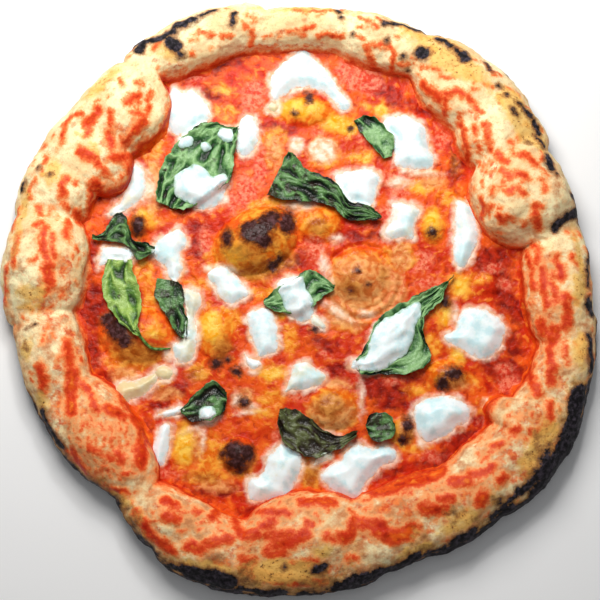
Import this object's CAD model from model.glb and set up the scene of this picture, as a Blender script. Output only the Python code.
from collections import namedtuple
from itertools import product
import math

import bpy
import numpy as np
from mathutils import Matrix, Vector
from mathutils.bvhtree import BVHTree
from mathutils.geometry import delaunay_2d_cdt


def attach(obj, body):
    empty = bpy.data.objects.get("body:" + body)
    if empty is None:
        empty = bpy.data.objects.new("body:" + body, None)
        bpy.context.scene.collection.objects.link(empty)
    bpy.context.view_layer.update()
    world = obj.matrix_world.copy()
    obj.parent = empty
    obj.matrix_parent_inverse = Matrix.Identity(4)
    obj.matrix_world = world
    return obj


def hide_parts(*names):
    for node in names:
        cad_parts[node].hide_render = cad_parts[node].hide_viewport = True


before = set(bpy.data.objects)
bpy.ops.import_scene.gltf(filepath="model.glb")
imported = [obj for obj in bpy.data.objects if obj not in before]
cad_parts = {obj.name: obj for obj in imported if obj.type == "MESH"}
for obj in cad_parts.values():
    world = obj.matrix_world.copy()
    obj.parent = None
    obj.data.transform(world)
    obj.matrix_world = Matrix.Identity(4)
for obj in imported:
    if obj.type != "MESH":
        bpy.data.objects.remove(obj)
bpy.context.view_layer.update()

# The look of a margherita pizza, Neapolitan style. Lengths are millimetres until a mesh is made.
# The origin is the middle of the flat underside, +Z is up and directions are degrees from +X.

MM = 0.001

# ------------------------------------------------------------------ sizes shared with the solids

Puff = namedtuple("Puff", "direction half_angle inner outer crest")
PUFFS = {
    "three": Puff(1, 14, 121.5, 159, 24),
    "two": Puff(24, 12.5, 106.5, 158, 32),
    "half_past_one": Puff(39, 9, 119, 163, 28),
    "one": Puff(51, 13, 125.5, 167, 26),
    "half_past_twelve": Puff(71, 12, 134.5, 162.5, 23),
    "twelve": Puff(88, 20, 138.5, 162, 21),
    "eleven": Puff(112, 15, 138.5, 168, 24),
    "half_past_ten": Puff(134, 11, 118, 164, 26),
    "ten": Puff(147, 8, 113, 164.5, 24),
    "half_past_nine": Puff(157, 8, 124, 165, 22),
    "nine": Puff(174, 13, 116.5, 162, 29),
    "half_past_eight": Puff(195, 13, 120, 155.5, 25),
    "eight": Puff(215, 14, 111.5, 153, 26),
    "half_past_seven": Puff(225, 9, 117, 154, 22),
    "seven": Puff(243, 14, 124.5, 159, 25),
    "half_past_six": Puff(254, 13, 126, 164, 25),
    "six": Puff(272, 15, 108.5, 161, 25.5),
    "half_past_five": Puff(293, 17, 114, 156.5, 24.5),
    "five": Puff(311, 15, 121, 160.5, 25),
    "four": Puff(326, 14, 125, 166, 25),
    "four_nub": Puff(329, 4, 118, 145, 16),
    "half_past_three": Puff(342, 14, 131, 163, 23.5),
}
CORE = Puff(0, 180, 143, 152, 19)
PUFF_BLUNTNESS = 2.4
OUTER_BLUNTNESS = 0.3
CREASE_WIDTH = 2.0
BELLY = 0.38
BASE_TUCK = 11.0
RIM_LUMP = 0.9
RIM_LUMP_SPAN = 24.0

BED_THICKNESS = 5.0
BED_EDGE = 6.0
BED_WAVE = 0.7
BED_WAVE_SPAN = 30.0
Blister = namedtuple("Blister", "x y long wide turn height")
BLISTERS = {
    "great": Blister(-24, 29, 25, 18, 25, 14),
    "great_shoulder": Blister(9, 38, 15, 11, 0, 6),
    "round": Blister(32, 9, 17, 16, 0, 8),
    "round_skirt": Blister(36, 3, 24, 22, 0, 3),
    "under_stem": Blister(-88, -23, 22, 16, 0, 8),
    "yellow": Blister(-46, -22, 17, 11, 90, 6),
    "burnt_button": Blister(-33, -88, 10, 10, 0, 8),
    "right": Blister(80, -45, 13, 9, 0, 6),
    "top": Blister(5, 103, 18, 10, 0, 5),
    "upper_right": Blister(73, 35, 9, 7, 90, 5),
    "upper_left": Blister(-88, 37, 9, 7, 0, 5),
    "low_button": Blister(-29, -60, 5, 5, 0, 3),
    "lower_right": Blister(55, -75, 8, 5, 90, 5),
    "smooth": Blister(18, -63, 15, 13, 0, 7),
    "lower_left": Blister(-60, -85, 12, 9, 80, 3),
    "three_side": Blister(102, 5, 9, 9, 0, 4),
}
BLISTER_FULLNESS = 0.7
GAP = 0.3
WAVES = 9

# ------------------------------------------------------------------ toppings as they lie, from above

# Each piece of cheese: its thickness, how creamy it is from 0 to 1, and the corners of its outline.
Cheese = namedtuple("Cheese", "thick cream corners")
CHEESES = (
    Cheese(3.6, 0.0, ((2, 140), (9, 133), (14, 128), (19, 121), (23, 115), (28, 108), (26, 104), (21, 105),
                      (17, 112), (8, 116), (2, 117), (-3, 116), (-9, 112), (-15, 110), (-17, 117),
                      (-16, 124), (-11, 130), (-5, 135))),
    Cheese(3.6, 0.0, ((-71, 118), (-66, 114), (-60, 116), (-54, 110), (-50, 104), (-51, 98), (-57, 93),
                      (-62, 89), (-68, 89), (-72, 92), (-75, 98), (-76, 104), (-74, 110))),
    Cheese(3.6, 0.0, ((-69, 65), (-64, 69), (-58, 72), (-53, 70), (-48, 65), (-42, 67), (-39, 62),
                      (-41, 57), (-42, 52), (-46, 49), (-52, 47), (-58, 48), (-63, 51), (-69, 55))),
    Cheese(2.6, 0.2, ((-30, 101), (-25, 99), (-23, 93), (-23, 86), (-26, 80), (-31, 77), (-35, 80),
                      (-35, 88), (-34, 96))),
    Cheese(3.4, 0.0, ((49, 100), (56, 101), (61, 100), (69, 95), (71, 88), (72, 82), (75, 75), (71, 70),
                      (60, 70), (53, 72), (52, 80), (52, 87), (48, 92), (46, 96))),
    Cheese(3.4, 0.0, ((20, 67), (29, 69), (38, 70), (44, 67), (43, 60), (42, 53), (38, 48), (32, 50),
                      (26, 51), (22, 57), (20, 62))),
    Cheese(2.8, 0.35, ((51, 50), (57, 51), (63, 49), (66, 46), (64, 40), (63, 35), (62, 30), (56, 31),
                       (50, 30), (46, 34), (49, 39), (50, 45))),
    Cheese(3.0, 0.2, ((86, 52), (91, 51), (94, 49), (96, 43), (98, 37), (98, 31), (96, 25), (93, 19),
                      (90, 14), (86, 15), (84, 20), (84, 28), (85, 36), (85, 45))),
    Cheese(2.2, 0.35, ((-94, 73), (-88, 72), (-86, 66), (-85, 58), (-88, 52), (-95, 47), (-104, 43),
                       (-105, 46), (-100, 50), (-97, 56), (-95, 62), (-95, 68))),
    Cheese(2.8, 0.1, ((-109, 25), (-104, 26), (-98, 26), (-93, 24), (-91, 20), (-95, 17), (-100, 18),
                      (-105, 17), (-110, 15), (-110, 20))),
    Cheese(2.6, 0.25, ((-67, 36), (-63, 32), (-62, 27), (-66, 22), (-64, 15), (-66, 9), (-68, 6),
                       (-72, 9), (-73, 14), (-77, 17), (-81, 21), (-80, 27), (-76, 31), (-71, 34))),
    Cheese(2.4, 0.5, ((-63, 2), (-58, 2), (-54, -1), (-54, -7), (-57, -12), (-56, -20), (-56, -28),
                      (-58, -36), (-64, -39), (-68, -35), (-69, -29), (-64, -25), (-62, -18), (-62, -10),
                      (-63, -4))),
    Cheese(2.8, 0.3, ((-50, 12), (-45, 15), (-40, 15), (-35, 10), (-30, 4), (-28, 0), (-32, -4),
                      (-38, -6), (-44, -2), (-47, 4), (-50, 8))),
    Cheese(4.0, 0.0, ((-6, 9), (-1, 10), (2, 8), (3, 3), (5, 0), (7, -4), (8, -9), (6, -14), (1, -16),
                      (-4, -14), (-8, -9), (-10, -4), (-12, 1), (-13, 5), (-10, 8))),
    Cheese(3.0, 0.05, ((-29, -12), (-24, -9), (-17, -9), (-13, -16), (-12, -24), (-12, -31), (-17, -34),
                       (-22, -35), (-24, -31), (-26, -26), (-28, -19))),
    Cheese(2.8, 0.4, ((-3, -39), (3, -38), (8, -41), (13, -44), (14, -47), (10, -51), (6, -52), (1, -53),
                      (-4, -53), (-8, -54), (-6, -49), (-5, -44))),
    Cheese(4.2, 0.0, ((65, -5), (66, -11), (63, -18), (61, -26), (58, -33), (51, -38), (43, -43),
                      (34, -43), (28, -41), (29, -37), (36, -34), (37, -27), (39, -21), (45, -15),
                      (53, -11), (59, -7))),
    Cheese(4.0, 0.1, ((90, -8), (97, -8), (103, -10), (109, -14), (112, -19), (110, -26), (107, -32),
                      (101, -36), (94, -35), (88, -31), (80, -27), (78, -23), (84, -20), (86, -14))),
    Cheese(4.4, 0.0, ((70, -57), (80, -56), (86, -58), (91, -62), (92, -66), (89, -71), (84, -73),
                      (80, -77), (72, -80), (68, -81), (64, -77), (62, -70), (61, -64), (64, -60))),
    Cheese(3.8, 0.2, ((-9, -82), (-5, -85), (0, -88), (1, -94), (-1, -100), (-4, -106), (-8, -112),
                      (-14, -113), (-20, -112), (-26, -112), (-28, -106), (-27, -101), (-22, -99),
                      (-19, -95), (-18, -90), (-13, -84))),
    Cheese(3.8, 0.1, ((25, -86), (31, -82), (38, -84), (45, -83), (51, -85), (51, -91), (44, -94),
                      (39, -99), (35, -104), (32, -111), (27, -113), (20, -109), (14, -104), (11, -99),
                      (14, -95), (18, -92), (22, -91))),
    Cheese(2.8, 0.1, ((-73, -71), (-70, -73), (-70, -80), (-71, -87), (-73, -93), (-77, -95), (-79, -92),
                      (-80, -86), (-78, -80), (-76, -75))),
    Cheese(3.2, 0.8, ((-98, -49), (-92, -48), (-84, -46), (-78, -44), (-77, -48), (-81, -53), (-84, -56),
                      (-90, -58), (-95, -61), (-99, -58), (-101, -54))),
)
# Thin bits of cheese too small for a solid of their own.
CHEESE_BITS = (
    Cheese(1.4, 0.0, ((-67, 88), (-62, 88), (-59, 86), (-60, 82), (-66, 81), (-68, 84))),
    Cheese(1.2, 0.0, ((-55, 84), (-51, 84), (-49, 81), (-53, 79))),
    Cheese(1.2, 0.0, ((-44, 92), (-38, 92), (-37, 86), (-40, 84), (-45, 87))),
    Cheese(1.3, 0.3, ((-77, -66), (-69, -63), (-63, -62), (-62, -65), (-68, -67), (-74, -68))),
    Cheese(2.0, 0.1, ((-54, -64), (-50, -62), (-46, -63), (-45, -68), (-49, -71), (-54, -69))),
    Cheese(1.2, 0.5, ((6, -12), (10, -13), (14, -18), (12, -20), (6, -17))),
    Cheese(1.3, 0.1, ((-30, -33), (-27, -36), (-22, -37), (-21, -40), (-26, -42), (-29, -38))),
    Cheese(1.0, 0.6, ((7, -94), (13, -92), (17, -90), (16, -87), (10, -89))),
    Cheese(1.4, 0.8, ((-78, -41), (-72, -40), (-68, -44), (-72, -48), (-78, -46))),
    Cheese(1.2, 0.8, ((-16, 108), (-12, 106), (-14, 102), (-18, 105))),
)

# Each leaf: how crumpled it is, then rows from its base to its tip, each a left and a right edge point.
Leaf = namedtuple("Leaf", "look crumple rows")
LEAVES = (
    Leaf("green", 2.0, (((-79, 51), (-67, 46)), ((-78, 66), (-60, 47)), ((-74, 76), (-47, 56)),
                        ((-68, 84), (-39, 63)), ((-58, 93), (-36, 78)), ((-49, 96), (-35, 88)),
                        ((-40, 93), (-34, 94)))),
    Leaf("dark", 2.0, (((-7, 79), (-18, 55)), ((-3, 77), (-10, 52)), ((4, 69), (2, 51)),
                       ((13, 66), (12, 50)), ((20, 61), (20, 46)), ((27, 51), (26, 41)),
                       ((37, 49), (35, 40)), ((45, 42), (44, 41)))),
    Leaf("green", 1.1, (((46, 75), (51, 77)), ((41, 81), (52, 85)), ((36, 87), (49, 91)),
                        ((32, 93), (42, 98)), ((30, 97), (35, 100)))),
    Leaf("dark", 1.8, (((-114, 32), (-114, 30)), ((-108, 33), (-106, 28)), ((-102, 43), (-101, 28)),
                       ((-96, 43), (-96, 27)), ((-92, 30), (-92, 23)), ((-85, 28), (-88, 18)),
                       ((-79, 25), (-80, 22)))),
    Leaf("bright", 1.3, (((-92, 18), (-105, 18)), ((-91, 12), (-107, 11)), ((-88, 4), (-107, 1)),
                         ((-86, -5), (-104, -8)), ((-87, -13), (-99, -15)), ((-88, -19), (-94, -20)),
                         ((-87, -23), (-88, -24)))),
    Leaf("dark", 1.5, (((-66, 6), (-77, 8)), ((-63, 0), (-79, -1)), ((-63, -8), (-76, -8)),
                       ((-61, -15), (-71, -15)), ((-61, -21), (-67, -22)), ((-62, -25), (-64, -25)))),
    Leaf("green", 1.4, (((-20, -5), (-19, -8)), ((-14, 1), (-12, -11)), ((-5, 6), (-3, -12)),
                        ((3, 12), (6, -8)), ((11, 10), (12, -3)), ((19, 3), (18, 1)))),
    Leaf("green", 1.5, (((30, -37), (33, -45)), ((36, -28), (47, -45)), ((42, -15), (61, -44)),
                        ((50, -9), (71, -36)), ((57, -5), (67, -24)), ((65, -1), (68, -14)),
                        ((74, 3), (77, -4)), ((80, 6), (80, 4)), ((84, 10), (84, 9)))),
    Leaf("dark", 2.0, (((-64, -64), (-64, -66)), ((-58, -57), (-58, -70)), ((-52, -51), (-51, -70)),
                       ((-46, -48), (-45, -68)), ((-40, -54), (-41, -65)), ((-39, -58), (-40, -62)))),
    Leaf("wilted", 1.6, (((-11, -64), (-12, -69)), ((-6, -63), (-9, -81)), ((0, -65), (-1, -87)),
                         ((6, -69), (8, -90)), ((13, -75), (15, -87)), ((21, -78), (23, -84)),
                         ((31, -75), (30, -78)))),
    Leaf("dark", 2.0, (((35, -72), (36, -75)), ((38, -67), (38, -80)), ((44, -65), (44, -81)),
                       ((49, -68), (49, -79)), ((51, -72), (51, -75)))),
)
LEAF_THICKNESS = 0.6
TENDRIL = ((-88, -22), (-85, -26), (-81, -30), (-77, -31), (-70, -30.5))

# ------------------------------------------------------------------ marks placed by hand
# They are given as they lie in a level plane, seen from the main viewpoint. A mark is an oval:
# its middle, half its size along and across, and its turn. A stroke is a half width and a path.

Mark = namedtuple("Mark", "x y long wide turn", defaults=(0,))

RIM_PLANE = 20.0
SMEARS = (
    (3.3, (-119, 76), (-113, 73)), (1.8, (-113, 72), (-108, 66), (-104, 62)),
    (3.6, (-111, 58), (-107, 50)), (2.2, (-113, 57), (-114, 44)),
    (3.2, (-105, 51), (-97, 49), (-92, 56), (-91, 66)), (4.6, (-112, 46), (-109, 38), (-107, 32)),
    (2.2, (-128, 60), (-129, 52)), (1.5, (-128, 47), (-125, 44)), (2.4, (-121, 42), (-119, 36)),
    (1.8, (-125, 36), (-127, 28)), (1.8, (-141, 45), (-140, 40)), (2.0, (-142, 35), (-138, 35), (-138, 30)),
    (2.0, (-138, 30), (-138, 23)), (1.4, (-134, 29), (-134, 26)), (1.6, (-138, 22), (-135, 15)),
    (3.3, (-136, 12), (-134, 3)), (2.0, (-134, 3), (-137, -3)), (1.8, (-133, 21), (-131, 17)),
    (0.9, (-144, 15), (-141, 17)), (1.1, (-152, 44), (-155, 32)), (1.8, (-152, 29), (-153, 20), (-154, 13)),
    (1.2, (-157, 12), (-158, -8)), (1.5, (-138, 73), (-139, 69)), (0.9, (-142, 60), (-147, 54)),
    (1.5, (-147, 54), (-147, 50)), (1.5, (-118, 98), (-124, 96), (-128, 91), (-130, 85), (-129, 81)),
    (2.8, (-111, 100), (-113, 94), (-117, 91)), (1.6, (-115, 89), (-117, 84)), (1.1, (-99, 117), (-98, 113)),
    (1.4, (-89, 115), (-86, 114)), (2.4, (-94, 104), (-89, 108)), (1.6, (-92, 98), (-86, 96)),
    (1.5, (-82, 110), (-83, 105)), (1.8, (-82, 101), (-84, 97)), (1.8, (-104, 99), (-103, 92)),
    (2.6, (-104, 86), (-102, 78)), (3.2, (-91, 88), (-85, 92)), (2.4, (-96, 80), (-93, 84)),
    (3.0, (-102, 72), (-92, 73), (-86, 77)), (2.2, (-96, 72), (-93, 64)),
    (1.5, (-31, 149), (-29, 146)), (1.6, (-43, 141), (-39, 142)), (1.5, (-26, 144), (-26, 139), (-27, 136)),
    (1.3, (-60, 133), (-59, 130)), (1.2, (-64, 123)), (1.5, (-78, 137), (-80, 135)),
    (1.2, (-55, 144), (-49, 142)), (3.0, (-46, 123), (-36, 124)), (3.0, (-32, 129), (-24, 131), (-16, 128)),
    (2.6, (-58, 121), (-50, 122)), (1.5, (2, 146), (8, 147)), (1.8, (11, 141), (16, 143), (22, 141)),
    (1.0, (-12, 142)), (1.3, (-6, 144)), (1.6, (-3, 157), (10, 156), (24, 157)), (1.4, (32, 153), (42, 147)),
    (1.5, (36, 137), (42, 136.5), (49, 136), (52, 131), (50.5, 124), (51, 117)),
    (1.3, (37, 135), (39, 131), (40, 125)), (1.5, (55, 125.5), (59, 124.5)), (0.8, (62, 125.5)),
    (0.9, (67, 124), (71, 123)), (3.2, (67, 113), (72, 110), (76, 107)), (2.2, (76, 107), (80, 105), (79, 97)),
    (2.2, (80, 108), (87, 110), (90, 108)), (1.0, (77, 118), (85, 118)), (0.9, (72, 135), (74, 133)),
    (1.7, (93, 107), (95, 103), (98, 98)), (1.3, (88, 97), (87, 93)), (2.2, (87, 91), (90, 88)),
    (2.2, (89, 86), (91, 78), (91, 70)), (1.7, (95, 90), (96, 86)), (1.8, (101, 91), (103, 86), (104, 76)),
    (1.4, (98, 79), (97, 75)), (1.8, (107, 75), (110, 71), (113, 70)), (1.0, (115, 82), (117, 74)),
    (2.2, (122, 74), (125, 71), (129, 68)), (1.0, (131, 66), (134, 62)), (1.9, (110, 65), (114, 61)),
    (2.2, (118, 63), (121, 62), (123, 60)), (1.9, (104, 55), (104, 52)), (1.9, (113, 54), (117, 54.5)),
    (1.9, (121, 53), (122, 52)), (1.2, (133, 57), (133, 54)), (1.8, (98, 49), (99, 44), (98, 38)),
    (1.4, (103, 45), (102, 42)), (0.8, (107, 44)), (1.8, (107, 39), (109, 37), (113, 39)),
    (1.4, (127, 46), (130, 45)), (2.0, (127, 45), (127, 39), (129, 33)), (1.7, (126, 24), (129, 21), (127, 14)),
    (1.8, (122, 20), (124, 12)), (2.2, (130, 11), (131, 2), (132, -9)), (1.6, (124, 8), (125, 0)),
    (1.5, (135, 2), (137, -2), (136, -6)), (2.2, (139, 12), (140, 6)), (1.0, (138, 18), (136, 14)),
    (1.2, (146, 17), (149, 13)), (2.4, (142, -5), (143, -12), (142, -21)), (3.0, (129, -18), (130, -24)),
    (3.4, (136, -22), (134, -28)), (2.0, (133, -30), (133, -40)), (1.2, (141, -31), (141, -36)),
    (2.6, (134, -44), (133, -50)), (3.4, (119, -18), (120, -36)), (2.4, (122, -46), (126, -56)),
    (1.9, (132, -62), (132, -72), (127, -77), (122, -77)), (1.4, (101, -85), (106, -83)),
    (2.0, (90, -99), (97, -98), (101, -95)), (2.0, (105, -103), (107, -101)), (2.2, (112, -76), (115, -76)),
    (2.8, (64, -117), (68, -118), (75, -118)), (2.2, (74, -112), (79, -112)), (5.0, (40, -108), (50, -106)),
    (5.5, (52, -104), (62, -102), (72, -98)), (3.0, (80, -103), (88, -103)), (3.2, (94, -113), (96, -110)),
    (4.0, (41, -128), (50, -132), (58, -128)), (3.0, (2, -114), (8, -113), (16, -114)),
    (2.4, (-20, -126), (-15, -125), (-14, -123)), (2.8, (-33, -128), (-28, -131), (-22, -130)),
    (2.0, (-35, -121), (-33, -126)), (2.2, (-17, -131), (-5, -130)), (3.2, (-12, -136), (-5, -134), (2, -131)),
    (2.2, (-17, -140), (-12, -142), (-9, -139)), (1.3, (4, -124), (6, -126)), (1.9, (14, -131), (17, -132)),
    (2.8, (22, -131), (25, -132), (27, -127)), (3.2, (29, -124), (36, -125), (42, -125)),
    (2.0, (-4, -146), (2, -146), (8, -144)), (1.6, (25, -143), (28, -142)), (1.7, (-30, -142), (-24, -144)),
    (2.6, (-70, -113), (-65, -115)), (2.5, (-70, -121), (-65, -123)), (1.5, (-55, -118), (-53, -119)),
    (2.8, (-85, -120), (-80, -127), (-76, -132)), (2.4, (-80, -130), (-70, -136), (-66, -140)),
    (2.8, (-58, -136), (-51, -138)), (2.4, (-48, -135), (-42, -133), (-37, -133)),
    (2.4, (-46, -122), (-42, -118)), (2.8, (-124, -30), (-123, -40)), (3.4, (-121, -46), (-121, -66)),
    (2.5, (-138, -42), (-136, -48), (-136, -54)), (3.2, (-101, -65), (-94, -68)),
    (3.4, (-88, -70), (-84, -78), (-84, -93)), (1.5, (-111, -84), (-108, -86)), (1.3, (-106, -88), (-103, -89)),
    (1.3, (-101, -90), (-99, -91)), (1.9, (-96, -88), (-94, -92)), (1.0, (-93, -99), (-91, -99)),
    (2.6, (-119, -88), (-115, -95), (-109, -101)), (1.6, (-125, -84), (-120, -92)),
    (2.6, (-112, -101), (-102, -106), (-92, -109)), (1.8, (-116, -52), (-110, -58), (-108, -66)),
    (2.6, (-30, -148), (-18, -152), (0, -155), (12, -155)), (2.0, (-6, -119), (-22, -119)),
    *((0.0, (x + 1.6 * math.sin(x * y), y), (x + 1, y - 5))
      for y in (-72, -80, -88, -96) for x in range(-120, -90, 4)),
)
TINTS = (
    Mark(-95, 86, 13, 15), Mark(-102, 76, 8, 12), Mark(-101, -68, 19, 25, 20), Mark(-93, -93, 13, 8),
    Mark(-110, 42, 8, 13), Mark(-104, 50, 9, 7), Mark(-70, -116, 11, 8), Mark(-10, -117, 30, 7),
    Mark(-10, -133, 24, 9), Mark(52, -108, 30, 12, 14), Mark(74, -104, 16, 13),
    Mark(118, -82, 14, 27, -25), Mark(38, -128, 24, 7, 10),
    Mark(128, -12, 9, 42), Mark(122, 14, 7, 11), Mark(-8, 144, 20, 3), Mark(20, 157, 20, 2),
    Mark(101, 66, 7, 9), Mark(90, 80, 5, 15), Mark(95, 100, 5, 10, 20),
    Mark(-70, 127, 9, 5), Mark(-30, -141, 26, 9), Mark(5, -150, 28, 8), Mark(48, -121, 22, 6),
    Mark(-80, -127, 14, 8, -40), Mark(90, -110, 14, 8, 30), Mark(-112, -92, 12, 7, -50),
    Mark(-126, 5, 5, 20), Mark(-134, -10, 9, 26), Mark(-122, -40, 10, 22), Mark(-128, -62, 9, 18, 20),
    Mark(60, -126, 20, 6, 16), Mark(132, -40, 9, 20),
)
TOASTED = (
    Mark(-134, 64, 5, 8), Mark(-145, -3, 9, 6), Mark(-144, -10, 6, 3), Mark(12, -138, 6, 4),
    Mark(82, -124, 13, 5, 25), Mark(151, 12, 3, 26), Mark(121, 96, 40, 9, -53), Mark(84, 128, 26, 8, -33),
    Mark(103, 111, 3, 2, -40), Mark(-36, 152, 2.5, 4.5), Mark(-121, 86, 2, 3),
    Mark(-113, 79, 4, 2, -30), Mark(-110, 114, 17, 5, 48), Mark(126, -85, 18, 7, 55),
    Mark(0, 158, 40, 3), Mark(-150, 40, 3, 22, -12), Mark(70, 141, 30, 5, -22), Mark(-145, -33, 4, 6),
    Mark(-137, -62, 5, 6), Mark(-70, 132, 8, 5), Mark(149, -32, 5, 12), Mark(-45, -148, 22, 4, -8),
    Mark(-8, -150, 24, 7), Mark(60, -140, 12, 5, 20), Mark(150, 0, 5, 10), Mark(-95, -112, 16, 4, -12),
)
CHARS = (
    (3.6, (-88, 135)), (1.8, (-92, 136), (-80, 140), (-70, 144)), (2.4, (-68, 147), (-60, 150)),
    (1.2, (-56, 153), (-47, 156)), (3.0, (-71, 138), (-68, 135)), (1.6, (-66, 131)),
    (1.3, (-36, 155), (-38, 149)),
    (1.6, (21, 156)), (0.9, (23, 152)), (1.3, (46, 149), (55, 149), (62, 146), (68, 144)),
    (1.6, (76, 139), (82, 136), (88, 131)), (2.4, (90, 131), (91, 128)), (2.9, (67, 132), (69, 131)),
    (1.1, (57, 130)), (0.8, (48, 139)), (0.7, (29, 143)), (0.6, (59, 122)),
    (1.0, (105, 122), (103, 126)), (0.9, (115, 119)), (0.7, (109, 113), (110, 112)), (1.2, (113, 107)),
    (0.9, (116, 99), (118, 97)), (0.9, (125, 81)), (0.9, (120, 103), (126, 96)), (1.6, (128, 92), (130, 86)),
    (1.2, (129, 84), (133, 78)), (2.2, (135, 72), (136, 67)), (1.1, (139, 63)),
    (2.4, (137, 33), (142, 38), (149, 42)), (1.8, (147, 50), (151, 45), (152, 37)),
    (3.0, (154, -8), (156, -12)), (1.0, (155, 22), (154, 2)), (1.6, (154, -26), (154, -44)),
    (5.5, (148, -57), (146, -66)), (4.4, (145, -70), (140, -78)), (3.0, (139, -80), (133, -90), (126, -99)),
    (2.2, (124, -101), (114, -109)), (1.6, (112, -111), (100, -121)), (2.6, (90, -129), (80, -134)),
    (1.4, (76, -137), (64, -141)), (3.4, (60, -142), (50, -147)), (4.2, (48, -148), (36, -152), (24, -156)),
    (2.0, (8, -148), (12, -147)), (1.0, (-8, -147)), (1.6, (-16, -160), (-30, -158)),
    (5.6, (-56, -151), (-46, -153), (-38, -155)), (2.0, (-66, -147), (-57, -149)),
    (1.4, (-82, -131), (-74, -140)), (2.2, (-136, -66), (-131, -76), (-125, -84)),
    (0.2, (-146, -22), (-141, -19)), (-0.3, (-145, -33), (-147, -29)), (1.0, (-149, 58), (-151, 54)),
    (0.7, (-136, 63)), (0.6, (-142, 66)),
)
# How far sauce climbs the rim's inner side, and how often it is spattered, by direction.
SAUCE_CLIMB = ((0, 5), (25, 2), (45, 3.5), (70, 3), (95, 2), (115, 4), (133, 9), (150, 7), (160, 3), (185, 1),
               (200, 4), (215, 11), (232, 7), (255, 5), (275, 6), (295, 10), (315, 7), (335, 8), (350, 6))
SPATTER = ((0, 0.9), (20, 0.7), (45, 0.7), (70, 0.4), (90, 0.3), (110, 0.25), (130, 0.5), (150, 0.5),
           (175, 0.3), (190, 0.25), (205, 0.6), (225, 0.9), (245, 0.8), (270, 1), (300, 1), (325, 0.9))
SPATTER_COUNT = 430
# How high up its outer side the rim is scorched, by direction.
SCORCH = ((0, 6), (25, 9), (45, 9), (65, 11), (95, 9), (120, 10), (150, 6), (180, 5), (205, 12),
          (222, 16), (245, 16), (258, 18), (275, 15), (290, 16), (305, 19), (325, 21), (340, 18), (352, 13))

BED_PLANE = 6.0
DEEP_SAUCE = (
    Mark(-114, 20, 4, 12), Mark(-113, -8, 6.5, 16), Mark(-113, -33, 6, 14), Mark(-104, -47, 6, 4),
    Mark(106, 17, 11, 10), Mark(112, 0, 6, 14), Mark(119, -11, 6, 7), Mark(110, -42, 14, 8, -20),
    Mark(115, -28, 5, 8), Mark(88, -82, 14, 7, 30), Mark(76, -90, 14, 5, 20), Mark(97, -70, 6, 5),
    Mark(45, -53, 17, 6, -5), Mark(60, -47, 8, 3), Mark(50, -61, 12, 4), Mark(13, -28, 9, 4, -15),
    Mark(20, -42, 6, 5), Mark(0, 19, 4, 7, -30), Mark(32, 31, 12, 3), Mark(45, 33, 6, 4),
    Mark(88, 76, 5, 13, -10), Mark(84, 66, 4, 5), Mark(45, 116, 10, 5, -20),
    Mark(52, 110, 6, 4, -40), Mark(-45, 129, 14, 3, 20), Mark(-50, 113, 8, 4, -20),
    Mark(-12, 93, 10, 3, -8), Mark(-57, 36, 6, 5), Mark(-56, 24, 5, 6), Mark(-64, 47, 5, 2.5),
    Mark(-68, -53, 10, 4, 15), Mark(-45, -108, 16, 3), Mark(-25, -117, 10, 2, 5),
    Mark(-82, -80, 4, 12), Mark(-75, -60, 8, 3, 20), Mark(68, 104, 10, 3, -25),
    Mark(-105, 57, 10, 5, 20), Mark(48, -98, 8, 3, 20), Mark(86, 83, 4, 5), Mark(-58, 75, 3, 3),
)
PULPY_SAUCE = (
    Mark(-26, 112, 7, 10), Mark(-30, 57, 6, 10), Mark(-22, 72, 4, 12), Mark(33, 122, 14, 8, -20),
    Mark(10, 88, 4, 6), Mark(-2, 85, 5, 4), Mark(35, 88, 3, 4), Mark(55, 56, 7, 4, 15),
    Mark(47, 45, 4, 5, 60), Mark(48, 29, 5, 3), Mark(8, 26, 5, 9), Mark(12, 17, 4, 4),
    Mark(67, 17, 6, 7), Mark(70, 5, 8, 3, 5), Mark(-52, 28, 4, 8), Mark(-106, -38, 5, 3),
    Mark(105, 14, 6, 2.5), Mark(112, 5, 4, 3), Mark(113, -50, 8, 5), Mark(102, -70, 5, 4),
    Mark(68, -88, 8, 3, -10), Mark(50, -48, 6, 2.5), Mark(0, -57, 5, 2), Mark(13, -33, 5, 2, -40),
    Mark(-12, -77, 3, 4), Mark(55, 66, 8, 4), Mark(-58, 125, 9, 5, 15), Mark(-38, 52, 4, 8, 20),
    Mark(78, 88, 4, 8), Mark(-71, -98, 9, 2.5), Mark(12, -16, 4, 3, -40), Mark(110, -42, 4, 3),
)
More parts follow.
